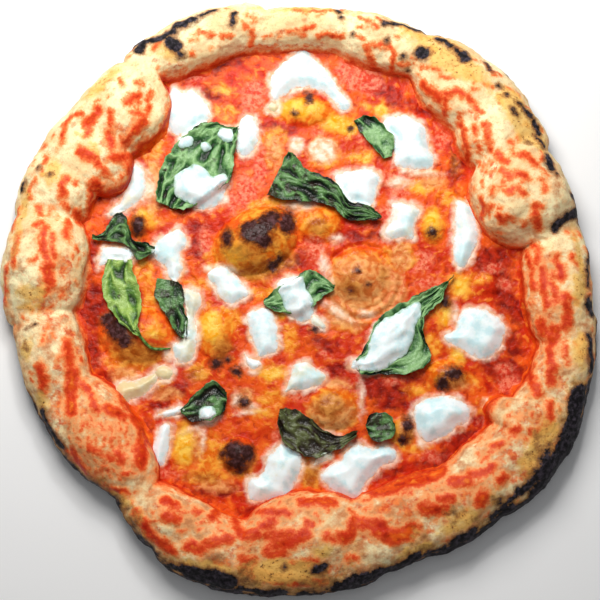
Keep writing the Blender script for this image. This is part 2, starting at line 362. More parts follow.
OILY_MELT = (
    Mark(-43, 115, 6, 3.5), Mark(-42, 102, 7, 5), Mark(-8, 104, 10, 6), Mark(5, 103, 12, 7),
    Mark(18, 97, 10, 6), Mark(26, 93, 8, 6), Mark(13, 79, 10, 9), Mark(-15, 79, 5, 10),
    Mark(33, 77, 8, 5), Mark(45, 103, 5, 5), Mark(38, 106, 9, 2), Mark(68, 60, 9, 5),
    Mark(70, 67, 8, 2.5), Mark(82, 54, 7, 5), Mark(73, 38, 7, 10), Mark(55, 20, 9, 8),
    Mark(-80, 80, 3, 7), Mark(-80, 66, 3, 8), Mark(-85, 45, 7, 4), Mark(-82, 40, 8, 4),
    Mark(-65, 13, 3, 6), Mark(-55, 5, 9, 3, -10), Mark(-82, -5, 4, 10), Mark(-80, -20, 7, 5),
    Mark(-48, -20, 9, 13), Mark(-40, -15, 8, 8), Mark(-90, -36, 15, 7), Mark(-93, -45, 6, 3),
    Mark(-76, -47, 6, 4), Mark(-20, 0, 8, 4), Mark(-12, -13, 6, 5), Mark(-5, -25, 4, 9),
    Mark(-16, -44, 9, 5), Mark(-15, -58, 8, 5), Mark(-20, -65, 8, 3), Mark(28, -10, 12, 6),
    Mark(25, -18, 8, 4), Mark(35, -5, 10, 3), Mark(88, 4, 8, 8), Mark(78, -12, 4, 10),
    Mark(84, -36, 5, 7), Mark(75, -43, 6, 6), Mark(92, -48, 5, 4), Mark(72, -28, 5, 6),
    Mark(64, -53, 7, 3), Mark(-62, -83, 8, 13), Mark(-47, -87, 9, 10), Mark(-30, -98, 5, 4),
    Mark(55, -77, 6, 9), Mark(60, -84, 8, 4), Mark(-55, -43, 6, 4), Mark(6, -98, 6, 10),
    Mark(97, 8, 6, 4), Mark(100, -62, 6, 4), Mark(-28, 22, 25, 16, 25), Mark(9, 40, 13, 9),
    Mark(-20, 47, 16, 6, 20), Mark(32, 9, 17, 15), Mark(18, -64, 14, 12), Mark(-50, -100, 11, 5),
    Mark(-85, 12, 6, 6), Mark(-14, 88, 8, 5), Mark(88, 50, 5, 5), Mark(-82, 84, 7, 11), Mark(-88, 92, 5, 6),
)
AMBER = (
    Mark(1, 106, 12, 6), Mark(22, 96, 8, 5), Mark(30, 92, 4, 5), Mark(45, 103, 4, 4),
    Mark(68, 59, 6, 3), Mark(73, 40, 5, 7), Mark(-43, 115, 4, 2), Mark(-79, 66, 3, 6),
    Mark(-86, 44, 6, 3), Mark(-48, -18, 6, 9), Mark(-35, 22, 7, 6), Mark(-93, -45, 5, 2.5),
    Mark(-62, -82, 6, 11), Mark(86, -33, 3, 6), Mark(80, -12, 3, 8), Mark(52, -72, 3, 4),
    Mark(-16, -44, 6, 3), Mark(36, -5, 8, 2), Mark(-78, -24, 5, 4), Mark(88, 3, 5, 5),
    Mark(38, 76, 3, 4), Mark(80, -48, 5, 3), Mark(28, 14, 6, 6), Mark(-24, -65, 6, 2),
)
BROWNED = (
    Mark(-25, 11, 14, 5, -5), Mark(-8, 17, 8, 5, 20), Mark(30, 1, 7, 4), Mark(-92, -30, 12, 7),
    Mark(-82, -37, 9, 5), Mark(16, -62, 9, 8), Mark(-52, -100, 10, 4), Mark(82, -47, 9, 5),
    Mark(-42, -34, 5, 6), Mark(10, 38, 7, 6), Mark(-40, 27, 4, 6), Mark(80, -5, 4, 5),
    Mark(-89, 38, 6, 6), Mark(57, -77, 5, 6), Mark(46, 10, 3, 5), Mark(-97, -26, 10, 6),
    Mark(6, -99, 5, 8), Mark(86, 74, 3, 8), Mark(-57, -45, 6, 4), Mark(-33, -92, 10, 9),
    Mark(-24, 28, 18, 9, 25), Mark(-88, -33, 15, 8), Mark(-39, 31, 4, 6), Mark(-22, 13, 14, 7),
    Mark(28, 4, 8, 6), Mark(-42, -30, 6, 6),
)
BURNT = (
    Mark(-25, 34, 8, 6.5), Mark(-18, 39, 9, 5, 45), Mark(-20, 29, 4, 4), Mark(-7, 39, 4, 6),
    Mark(-40, 30, 2.6, 4.5), Mark(-15, 15, 3.6, 2.4, 20), Mark(-11, 19, 1.8, 2.6), Mark(31, 12, 1.4, 1.1),
    Mark(37, 5, 0.7, 0.6), Mark(-104, -15, 4, 4), Mark(-100, -20, 5, 6, 25), Mark(-95, -26, 4, 4),
    Mark(-45, -39, 2.8, 2.4), Mark(-39, -37, 1.4, 1.2), Mark(-34, -43, 2.6, 2, -30),
    Mark(-35, -86, 5.5, 5), Mark(-29, -87, 4.5, 4.5), Mark(-34, -92, 5, 3.4), Mark(-32, -96, 2.4, 1.8),
    Mark(83, -44, 4.6, 3.4), Mark(77, -50, 3, 3.4), Mark(5, 110.5, 2.4, 2.8, 20), Mark(-3, 101.5, 1.3, 1.3),
    Mark(28, 93, 1.3, 1.3), Mark(73, 33.5, 2.7, 2.2), Mark(-89, 37, 3.4, 5.4), Mark(-30, -59.5, 3, 2.6),
    Mark(58, -72, 2.4, 3.6), Mark(55, -80, 2.4, 2.4), Mark(79, -5, 2.2, 2.6), Mark(-42, -88, 1.6, 1.4),
    Mark(8, -20, 2.2, 1.3), Mark(28, 1, 1.2, 0.9),
)
PEACH = (
    Mark(32, 9, 15, 13), Mark(36, 2, 22, 17), Mark(0, 47, 8, 4), Mark(-14, 80, 5, 9), Mark(17, -66, 13, 10),
    Mark(13, 80, 9, 8), Mark(0, 62, 5, 4), Mark(-45, -105, 10, 3), Mark(57, -74, 4, 7), Mark(-30, -58, 6, 5),
    Mark(24, -14, 12, 6, -20), Mark(85, -50, 8, 4), Mark(-55, -82, 3, 9), Mark(20, -50, 8, 3),
    Mark(-95, -45, 8, 5), Mark(-90, 60, 6, 8), Mark(55, 20, 6, 9), Mark(72, 62, 7, 4), Mark(-72, -55, 8, 3),
    Mark(-81, 60, 6, 15),
)
CREAM_FILM = (
    Mark(-92, 56, 6, 9), Mark(-84, 58, 4, 7), Mark(-2, 83, 5, 5), Mark(12, 80, 8, 7),
    Mark(-70, -33, 4, 5), Mark(-90, -54, 9, 5), Mark(-77, -45, 6, 3.5), Mark(-55, -73, 9, 2, 20),
    Mark(-52, -80, 2, 6), Mark(20, -10, 10, 2.5, -35), Mark(14, 14, 2.5, 8, 12), Mark(20, 30, 4, 2.5),
    Mark(36, -12, 4, 2), Mark(84, -12, 3, 6), Mark(45, -89, 8, 6), Mark(66, -80, 4, 5),
    Mark(103, -61, 5, 3), Mark(55, 62, 7, 3), Mark(70, 67, 8, 2), Mark(10, -17, 5, 3, -30),
    Mark(-25, -41, 4, 4), Mark(15, -77, 10, 1.5, -12), Mark(-28, -65, 6, 2), Mark(60, 48, 6, 3),
    Mark(-50, 13, 4, 3), Mark(0, 49, 7, 3), Mark(-35, -59, 2, 4),
    Mark(-26, -62, 3, 2), Mark(33, -58, 2, 9), Mark(-63, -64, 6, 2, 10),
)

# ------------------------------------------------------------------ fields


def soft_max(a, b, width):
    """The larger of two heights, with the corner between them rounded."""
    return 0.5 * (a + b + np.sqrt((a - b) ** 2 + width ** 2))


def soft_min(a, b, width):
    return -soft_max(-a, -b, width)


def smooth_step(value, low, high):
    share = np.clip((value - low) / (high - low), 0, 1)
    return share * share * (3 - 2 * share)


def ripple(x, y, span, seed):
    """Uneven field of about -1 to 1 whose swells are about one span wide."""
    rng = np.random.default_rng(seed)
    total = np.zeros(np.shape(x))
    for _ in range(WAVES):
        heading, phase = rng.uniform(0, math.tau, 2)
        length = span * rng.uniform(0.8, 1.8)
        across = x * math.cos(heading) + y * math.sin(heading)
        total += np.sin(math.tau * across / length + phase)
    return total / math.sqrt(WAVES)


def noise(points, span, seed, octaves=1, gain=0.5):
    """Gradient noise of about -1 to 1 on points in mm, with finer octaves laid over it."""
    rng = np.random.default_rng(seed)
    table = rng.permutation(256)
    slopes = rng.normal(size=(256, 3))
    slopes /= np.linalg.norm(slopes, axis=1)[:, None]
    total, weight_sum, weight = np.zeros(len(points)), 0.0, 1.0
    for octave in range(octaves):
        scaled = points / span * 2 ** octave + 17.3 * octave
        cell = np.floor(scaled).astype(int)
        part = scaled - cell
        fade = part ** 3 * (part * (part * 6 - 15) + 10)
        layer = np.zeros(len(points))
        for corner in product((0, 1), repeat=3):
            at = (cell + corner) & 255
            slope = slopes[table[(table[(table[at[:, 0]] + at[:, 1]) & 255] + at[:, 2]) & 255]]
            share = np.prod(np.where(corner, fade, 1 - fade), axis=1)
            layer += share * np.einsum("ij,ij->i", slope, part - corner)
        total += weight * layer * 1.7
        weight_sum += weight
        weight *= gain
    return total / weight_sum


def on_plane(x, y):
    """Flat points, for a noise that varies over a level surface."""
    return np.stack([x, y, 0 * x], -1)


def around(direction, table):
    """A value read off a table by direction, in degrees, all the way round."""
    places, values = zip(*table)
    return np.interp(np.degrees(direction) % 360, places, values, period=360)


def local(x, y, centre_x, centre_y, turn):
    """Coordinates along and across a direction, from a centre."""
    cosine, sine = math.cos(math.radians(turn)), math.sin(math.radians(turn))
    dx, dy = x - centre_x, y - centre_y
    return dx * cosine + dy * sine, dy * cosine - dx * sine


def oval_depth(along, across, long, wide):
    """How far inside an oval's outline a point is, in mm; negative outside."""
    return (1 - np.hypot(along / long, across / wide)) * min(long, wide)


def flat_depth(x, y, marks):
    """The deepest of a set of marks, on a level surface."""
    depth = np.full(np.shape(x), -30.0)
    for mark in marks:
        along, across = local(x, y, mark.x, mark.y, mark.turn)
        depth = np.maximum(depth, oval_depth(along, across, mark.long, mark.wide))
    return depth


def segment_distance(points, start, end):
    """Distance of points from a straight segment, in any number of dimensions."""
    span = end - start
    share = np.clip((points - start) @ span / max(span @ span, 1e-9), 0, 1)
    return np.linalg.norm(points - start - share[:, None] * span, axis=1)


def outline_depth(x, y, outline, margin):
    """Distance inside a closed outline, in mm; negative outside, and far out it is only -margin."""
    points = np.stack([x, y], -1)
    depth = np.full(len(points), -float(margin))
    low, high = outline.min(0) - margin, outline.max(0) + margin
    near = np.flatnonzero(np.all((points > low) & (points < high), axis=1))
    spot = points[near]
    away = np.full(len(near), np.inf)
    inside = np.zeros(len(near), dtype=bool)
    for start, end in zip(outline, np.roll(outline, -1, axis=0)):
        away = np.minimum(away, segment_distance(spot, start, end))
        crosses = (start[1] > spot[:, 1]) != (end[1] > spot[:, 1])
        if crosses.any():
            at = start[0] + (end[0] - start[0]) * (spot[:, 1] - start[1]) / (end[1] - start[1] or 1e-9)
            inside ^= crosses & (spot[:, 0] < at)
    depth[near] = np.where(inside, away, np.maximum(-away, -margin))
    return depth


def smooth_path(knots, count, closed=False):
    """Points evenly spaced in number along a curve that goes through every knot."""
    knots = np.asarray(knots, dtype=float)
    last = len(knots) if closed else len(knots) - 1
    place = np.linspace(0, last, count, endpoint=not closed)
    index = np.minimum(place.astype(int), last - 1)
    share = (place - index).reshape(-1, *[1] * (knots.ndim - 1))

    def knot(shift):
        at = index + shift
        return knots[at % len(knots)] if closed else knots[np.clip(at, 0, len(knots) - 1)]

    a, b, c, d = knot(-1), knot(0), knot(1), knot(2)
    return 0.5 * (2 * b + (c - a) * share + (2 * a - 5 * b + 4 * c - d) * share ** 2
                  + (3 * b - a - 3 * c + d) * share ** 3)


# ------------------------------------------------------------------ the main viewpoint

VIEW_TARGET = np.array([0.0, -5.0, 12.0])
VIEW_ELEVATION = 80.0
VIEW_DISTANCE = 800.0
LENS = 88.8
VIEW_BACK = np.array([0.0, -math.cos(math.radians(VIEW_ELEVATION)), math.sin(math.radians(VIEW_ELEVATION))])
EYE = VIEW_TARGET + VIEW_BACK * VIEW_DISTANCE


def seen_at(points, plane):
    """Where points appear to lie on a level plane, from the main viewpoint."""
    share = (EYE[2] - plane) / (EYE[2] - points[:, 2])
    return EYE[:2] + (points[:, :2] - EYE[:2]) * share[:, None]


def settle(flat, rise):
    """Where a topping's points lie, given how they look on the bed's plane, a rise above the bed."""
    spot = flat.copy()
    for _ in range(4):
        height = bed_height(spot[:, 0], spot[:, 1]) + rise
        spot = EYE[:2] + (flat - EYE[:2]) * ((EYE[2] - height) / (EYE[2] - BED_PLANE))[:, None]
    return spot


# ------------------------------------------------------------------ shapes shared with the solids

def rim_size(direction):
    inner = np.full(np.shape(direction), float(CORE.inner))
    outer = np.full(np.shape(direction), float(CORE.outer))
    crest = np.full(np.shape(direction), float(CORE.crest))
    for puff in PUFFS.values():
        away = (np.degrees(direction) - puff.direction + 180) % 360 - 180
        away = np.abs(away) / puff.half_angle
        inside = away < 1
        swell = np.clip(1 - away ** PUFF_BLUNTNESS, 0, 1) ** (1 / PUFF_BLUNTNESS)
        middle = (puff.inner + puff.outer) / 2
        reach = (puff.outer - puff.inner) / 2
        inward = soft_min(inner, middle - reach * swell, CREASE_WIDTH)
        outward = soft_max(outer, middle + reach * swell ** OUTER_BLUNTNESS, CREASE_WIDTH)
        upward = soft_max(crest, puff.crest * swell, 2 * CREASE_WIDTH)
        inner = np.where(inside, inward, inner)
        outer = np.where(inside, outward, outer)
        crest = np.where(inside, upward, crest)
    return inner, outer, crest


def foot_radius(direction):
    """Radius at which the rim's inner side meets the bed."""
    inner, outer, crest = rim_size(direction)
    belly = BELLY * crest
    foot = np.arcsin(np.clip((belly - BED_EDGE) / belly, 0, 1))
    return inner + (outer - inner) / 2 * (1 - np.cos(foot))


def blister_dome(blister, x, y):
    along, across = local(x, y, blister.x, blister.y, blister.turn)
    out = (along / blister.long) ** 2 + (across / blister.wide) ** 2
    return blister.height * np.clip(1 - out, 0, 1) ** BLISTER_FULLNESS


def bed_height(x, y):
    height = BED_THICKNESS + BED_WAVE * ripple(x, y, BED_WAVE_SPAN, seed=3)
    for blister in BLISTERS.values():
        height = soft_max(height, BED_THICKNESS - 1 + blister_dome(blister, x, y), 0.6)
    at_rim = smooth_step(np.hypot(x, y) / foot_radius(np.arctan2(y, x)), 0.93, 1.0)
    return height * (1 - at_rim) + BED_EDGE * at_rim


# ------------------------------------------------------------------ meshes

def to_linear(red, green, blue):
    """A screen colour of 0 to 255 as the linear colour that a shader takes."""
    shares = [value / 255 for value in (red, green, blue)]
    linear = [s / 12.92 if s <= 0.04045 else ((s + 0.055) / 1.055) ** 2.4 for s in shares]
    return (*linear, 1.0)


def make_object(name, points, faces, material):
    mesh = bpy.data.meshes.new(name)
    mesh.from_pydata((points * MM).tolist(), [], faces)
    mesh.validate()
    mesh.shade_smooth()
    mesh.materials.append(material)
    thing = bpy.data.objects.new(name, mesh)
    bpy.context.scene.collection.objects.link(thing)
    return thing


def store(thing, name, values):
    """Keep one number a vertex on the mesh, for its material to read."""
    attribute = thing.data.attributes.new(name, "FLOAT", "POINT")
    attribute.data.foreach_set("value", np.asarray(values, dtype=np.float32))


def grid_faces(rows, columns, wrap):
    """Quads of a grid whose points are numbered row by row."""
    row, column = np.meshgrid(np.arange(rows - 1), np.arange(columns - (0 if wrap else 1)), indexing="ij")
    here = row * columns + column
    right = row * columns + (column + 1) % columns
    return np.stack([here, right, right + columns, here + columns], -1).reshape(-1, 4)


def closed_sheet(faces, count):
    """Faces of a thin solid: a sheet facing up, its copy `count` points later facing down, and a wall."""
    faces = [list(face) for face in faces]
    sides = {(a, b) for face in faces for a, b in zip(face, face[1:] + face[:1])}
    walls = [[b, a, a + count, b + count] for a, b in sorted(sides) if (b, a) not in sides]
    under = [[i + count for i in reversed(face)] for face in faces]
    return faces + under + walls


def normals_of(thing):
    flat = np.empty(len(thing.data.vertices) * 3)
    thing.data.vertices.foreach_get("normal", flat)
    return flat.reshape(-1, 3)


def move_points(thing, points):
    thing.data.vertices.foreach_set("co", (points * MM).ravel())
    thing.data.update()


# ------------------------------------------------------------------ materials

class Nodes:
    """A material's node tree, built by short calls. Spans are in mm."""

    def __init__(self, name):
        self.material = bpy.data.materials.new(name)
        self.material.use_nodes = True
        self.tree = self.material.node_tree
        self.surface = self.tree.nodes["Principled BSDF"]
        self.place = self.tree.nodes.new("ShaderNodeTexCoord").outputs["Object"]

    def set(self, socket, value):
        if isinstance(value, bpy.types.NodeSocket):
            self.tree.links.new(value, socket)
        else:
            socket.default_value = value

    def attribute(self, name):
        node = self.tree.nodes.new("ShaderNodeAttribute")
        node.attribute_name = name
        return node.outputs["Fac"]

    def noise(self, span, detail=2.0, rough=0.5, shift=0.0, swirl=0.0):
        node = self.tree.nodes.new("ShaderNodeTexNoise")
        mapping = self.tree.nodes.new("ShaderNodeMapping")
        mapping.inputs["Location"].default_value = (shift, shift * 0.7, shift * 0.4)
        self.tree.links.new(self.place, mapping.inputs["Vector"])
        self.tree.links.new(mapping.outputs["Vector"], node.inputs["Vector"])
        node.inputs["Scale"].default_value = 1 / (span * MM)
        node.inputs["Detail"].default_value = detail
        node.inputs["Roughness"].default_value = rough
        node.inputs["Distortion"].default_value = swirl
        return node.outputs["Fac"]

    def math(self, kind, a, b=0.0, c=0.0):
        node = self.tree.nodes.new("ShaderNodeMath")
        node.operation = kind
        for socket, value in zip(node.inputs, (a, b, c)):
            self.set(socket, value)
        return node.outputs[0]

    def remap(self, value, low, high, to_low=0.0, to_high=1.0):
        node = self.tree.nodes.new("ShaderNodeMapRange")
        node.interpolation_type = "SMOOTHSTEP"
        for socket, number in zip(node.inputs, (value, low, high, to_low, to_high)):
            self.set(socket, number)
        return node.outputs[0]

    def ragged(self, value, span, spread, detail=3.0, shift=0.0):
        """A depth in mm whose zero line wanders by up to a spread."""
        wander = self.math("MULTIPLY_ADD", self.noise(span, detail, 0.6, shift), 2 * spread, -spread)
        return self.math("ADD", value, wander)

    def mix(self, factor, a, b):
        node = self.tree.nodes.new("ShaderNodeMix")
        node.data_type = "RGBA"
        self.set(node.inputs["Factor"], factor)
        self.set(node.inputs["A"], a)
        self.set(node.inputs["B"], b)
        return node.outputs["Result"]

    def tint(self, base, factor, share, colour):
        """The base with up to a share of a colour laid over it."""
        return self.mix(self.math("MULTIPLY", factor, share), base, colour)

    def ramp(self, value, stops):
        node = self.tree.nodes.new("ShaderNodeValToRGB")
        elements = node.color_ramp.elements
        while len(elements) < len(stops):
            elements.new(0.5)
        for element, (position, colour) in zip(elements, stops):
            element.position = position
            element.color = colour
        self.set(node.inputs["Fac"], value)
        return node.outputs["Color"]

    def bump(self, height, distance, below=None, strength=1.0):
        node = self.tree.nodes.new("ShaderNodeBump")
        node.inputs["Strength"].default_value = strength
        node.inputs["Distance"].default_value = distance * MM
        self.set(node.inputs["Height"], height)
        if below is not None:
            self.set(node.inputs["Normal"], below)
        return node.outputs["Normal"]

    def finish(self, colour, roughness, normal, shine=0.3):
        self.surface.inputs["Specular IOR Level"].default_value = shine
        self.set(self.surface.inputs["Base Color"], colour)
        self.set(self.surface.inputs["Roughness"], roughness)
        self.set(self.surface.inputs["Normal"], normal)
        return self.material


def grey(level):
    return (level, level, level, 1.0)


def sauce_red(n):
    """Tomato sauce: uneven reds with orange oil and darker pulp."""
    broad, medium = n.noise(10, 2, 0.5, 3.0, 0.3), n.noise(4.2, 3, 0.5, 2.0, 0.35)
    red = n.mix(n.remap(broad, 0.36, 0.64), to_linear(204, 44, 10), to_linear(236, 92, 22))
    red = n.tint(red, n.remap(medium, 0.54, 0.70), 0.7, to_linear(250, 138, 46))
    return n.tint(red, n.remap(medium, 0.46, 0.30), 0.7, to_linear(164, 22, 6))


def smear_film(n, base, depth, spread):
    """Sauce wiped over dough: red where it is thick, in an orange film that a spread makes wider."""
    thick = n.ragged(n.ragged(depth, 3.4, 2.5, shift=3.1), 1.1, 1.2, 2.0, shift=4.1)
    film = n.ramp(n.remap(thick, -1.2, 3.2), [
        (0.0, to_linear(250, 176, 112)), (0.3, to_linear(242, 128, 70)), (0.65, to_linear(230, 86, 38)),
        (1.0, to_linear(204, 50, 20))])
    film = n.mix(n.remap(thick, 1.8, 4.5), film, sauce_red(n))
    return n.mix(n.remap(thick, n.math("MULTIPLY_ADD", spread, -1.4, -1.9), 0.3), base, film)


def toast_and_char(n, base, toast, char):
    """Golden dough with scattered brown specks, then burnt blisters with brown edges."""
    golden = n.ragged(n.ragged(toast, 4.5, 3.0, shift=5.0), 1.2, 1.4, 2.0, shift=5.5)
    base = n.tint(base, n.remap(golden, -1.5, 2.5), 0.8, to_linear(240, 190, 96))
    specks = n.math("MULTIPLY_ADD", n.noise(2.2, 3, 0.65, 6.0), 9.0, n.math("MINIMUM", golden, 2.0))
    base = n.tint(base, n.remap(specks, 6.3, 7.9), 0.6, to_linear(202, 128, 54))
    base = n.tint(base, n.remap(specks, 7.4, 8.1), 0.85, to_linear(74, 48, 36))
    burnt = n.ragged(n.ragged(char, 3.4, 1.7, shift=7.7), 1.0, 0.9, 2.0, shift=8.7)
    base = n.tint(base, n.remap(burnt, -2.8, -0.4), 0.8, to_linear(134, 80, 44))
    soot = n.mix(n.remap(n.noise(2.6, 3, 0.6, 8.0), 0.4, 0.75), to_linear(20, 17, 20), to_linear(76, 68, 78))
    return n.mix(n.remap(burnt, -0.8, 0.5), base, soot)


def crust_material():
    n = Nodes("baked_crust")
    pale = n.mix(n.remap(n.noise(20, 2, 0.5), 0.35, 0.65), to_linear(246, 214, 158), to_linear(255, 242, 192))
    pale = n.tint(pale, n.remap(n.noise(6, 3, 0.6, 1.0, 0.3), 0.46, 0.70), 0.7, to_linear(246, 194, 138))
    pale = n.tint(pale, n.remap(n.noise(2.2, 3, 0.6, 1.7, 0.3), 0.50, 0.72), 0.6, to_linear(236, 168, 116))
    pale = n.tint(pale, n.remap(n.noise(0.9, 2, 0.6, 2.0), 0.58, 0.72), 0.35, to_linear(190, 132, 84))
    ruddy = n.ragged(n.attribute("ruddy"), 9.0, 1.4, shift=5.6)
    pale = n.mix(n.remap(ruddy, 0.25, 1.0, 0.0, 0.85), pale, to_linear(192, 108, 54))
    stain = n.ragged(n.ragged(n.attribute("stain"), 7.0, 8.0, shift=2.6), 1.6, 3.0, shift=3.6)
    blotches = n.remap(n.noise(3, 3, 0.65, 4.0), 0.35, 0.65)
    orange = n.mix(blotches, to_linear(242, 132, 64), to_linear(212, 72, 24))
    colour = n.mix(n.remap(stain, 0.5, 4.5, 0.0, 0.92), pale, orange)
    colour = smear_film(n, colour, n.attribute("smear"), n.attribute("ruddy"))
    colour = toast_and_char(n, colour, n.attribute("toast"), n.attribute("char"))
    rough = n.mix(n.remap(n.attribute("smear"), -0.8, 0.8), grey(0.65), grey(0.42))
    fine = n.bump(n.noise(0.9, 3, 0.6, 9.0), 0.18)
    return n.finish(colour, rough, n.bump(n.noise(3.2, 3, 0.6, 9.5), 0.6, fine), 0.14)


def bed_material():
    n = Nodes("sauce_bed")
    grain, medium = n.noise(1.0, 2, 0.6, 1.0), n.noise(4.2, 3, 0.5, 2.0, 0.35)

    def zone(name, shift, low=-2.0, high=2.6, spread=2.8):
        loose = n.ragged(n.attribute(name), 4.5, spread, shift=shift)
        return n.remap(n.ragged(loose, 1.2, 0.8, 2.0, shift + 0.5), low, high)

    colour = sauce_red(n)
    deep = n.mix(n.remap(medium, 0.35, 0.65), to_linear(116, 10, 4), to_linear(180, 34, 12))
    colour = n.tint(colour, zone("deep", 1.5), 0.92, deep)
    clots = n.remap(n.noise(2.2, 2, 0.6, 2.5), 0.36, 0.64)
    pink = n.mix(clots, to_linear(216, 58, 32), to_linear(248, 142, 108))
    colour = n.tint(colour, zone("pulp", 2.5), 0.8, pink)
    orange = n.mix(n.remap(medium, 0.35, 0.65), to_linear(228, 104, 10), to_linear(252, 172, 60))
    bright = n.mix(n.remap(medium, 0.65, 0.38), to_linear(242, 164, 12), to_linear(255, 208, 84))
    orange = n.mix(zone("amber", 4.5), orange, bright)
    colour = n.tint(colour, zone("melt", 3.5), 0.92, orange)
    peach = n.mix(n.remap(medium, 0.35, 0.65), to_linear(208, 108, 48), to_linear(240, 168, 102))
    colour = n.tint(colour, zone("peach", 8.5), 0.92, peach)
    cream = n.mix(n.remap(medium, 0.35, 0.65), to_linear(244, 190, 146), to_linear(254, 236, 216))
    colour = n.tint(colour, zone("film", 5.5, -1.8, 2.6, 2.0), 0.88, cream)
    brown = n.mix(n.remap(medium, 0.3, 0.7), to_linear(142, 72, 18), to_linear(210, 136, 56))
    colour = n.tint(colour, zone("brown", 6.5, -2.2, 4.0), 0.8, brown)
    burnt = n.ragged(n.ragged(n.attribute("burnt"), 3.0, 2.6, shift=7.7), 0.9, 1.0, 2.0, shift=8.7)
    colour = n.tint(colour, n.remap(burnt, -2.6, 0.2), 0.8, to_linear(118, 54, 24))
    soot = n.mix(n.remap(n.noise(2.6, 3, 0.6, 8.0), 0.4, 0.75), to_linear(40, 20, 20), to_linear(92, 62, 66))
    colour = n.tint(colour, n.remap(burnt, -0.8, 1.2), 0.95, soot)
    gloss = n.remap(n.attribute("melt"), -2.0, 2.0, 0.34, 0.22)
    rough = n.math("ADD", gloss, n.math("MULTIPLY_ADD", n.noise(2.4, 2, 0.5, 7.5), 0.3, -0.15))
    return n.finish(colour, rough, n.bump(medium, 0.9, n.bump(grain, 0.12)), 0.12)


def mozzarella_material():
    n = Nodes("melted_mozzarella")
    depth = n.ragged(n.ragged(n.attribute("inside"), 3.5, 2.2, shift=1.0), 1.0, 0.7, 2.0, shift=1.5)
    creamy = n.ragged(n.attribute("cream"), 7, 0.5, shift=7.0)
    wet = n.remap(n.noise(7, 3, 0.6, 2.0), 0.42, 0.66)
    white = n.mix(wet, to_linear(240, 254, 255), to_linear(208, 238, 242))
    white = n.mix(n.remap(creamy, 0.15, 0.9), white, to_linear(226, 208, 158))
    stained = n.remap(n.noise(1.2, 3, 0.7, 3.0), 0.35, 0.65)
    fringe = n.mix(stained, to_linear(244, 190, 150), to_linear(253, 234, 220))
    fringe = n.mix(n.attribute("leafy"), fringe, to_linear(156, 192, 166))
    colour = n.mix(n.remap(depth, -0.4, 1.7), fringe, white)
    n.surface.inputs["Subsurface Weight"].default_value = 0.35
    n.surface.inputs["Subsurface Radius"].default_value = (1.0, 0.9, 0.8)
    n.surface.inputs["Subsurface Scale"].default_value = 1.8 * MM
    rough = n.mix(n.noise(2.5, 2, 0.5, 4.0), grey(0.2), grey(0.42))
    fine = n.bump(n.noise(0.9, 2, 0.5, 5.0), 0.04)
    return n.finish(colour, rough, n.bump(n.noise(5, 2, 0.5, 6.0), 0.2, fine), 0.35)


def basil_material(name, fresh, dull, dark, burn_level):
    n = Nodes(name)
    fold = n.ragged(n.attribute("fold"), 1.6, 0.45, shift=1.0)
    green = n.ramp(n.remap(fold, -0.7, 0.9), [(0.0, dark), (0.45, dull), (1.0, fresh)])
    patch = n.remap(n.noise(7, 3, 0.6, 2.0), burn_level, burn_level + 0.12)
    green = n.tint(green, patch, 0.9, to_linear(40, 26, 18))
    pale = n.remap(n.noise(1.6, 3, 0.7, 3.0), 0.60, 0.74)
    green = n.tint(green, pale, 0.3, to_linear(160, 184, 130))
    rough = n.mix(n.noise(2, 2, 0.5, 4.0), grey(0.16), grey(0.42))
    fine = n.bump(n.noise(0.9, 2, 0.6, 5.0), 0.2)
    return n.finish(green, rough, n.bump(n.noise(2.4, 3, 0.6, 6.0), 0.9, fine), 0.45)


def floor_material():
    n = Nodes("pale_floor")
    colour = n.mix(n.noise(60, 2, 0.5), grey(0.90), grey(0.93))
    return n.finish(colour, 0.9, n.bump(n.noise(4, 2, 0.5, 1.0), 0.02))


# ------------------------------------------------------------------ the dough

CRUST_SEGMENTS = 950
CRUST_RINGS = 88
FILLET_RINGS = 9
FILLET_REACH = 4.0
UNDER_RINGS = 5
BED_STEP = 0.72
BED_TUCK = 1.0
DENT = 6.0
DENT_DIRECTION = 229
DENT_HALF_ANGLE = 9
STAIN_DEPTH = 2.5
# How brown and ruddy the baked dough is, by direction.
RUDDY = ((0, 0.5), (30, 0.2), (60, 0.0), (90, 0.0), (120, 0.05), (150, 0.15), (180, 0.35), (200, 0.45),
         (225, 0.65), (250, 0.6), (270, 0.65), (300, 0.65), (320, 0.6), (340, 0.55))


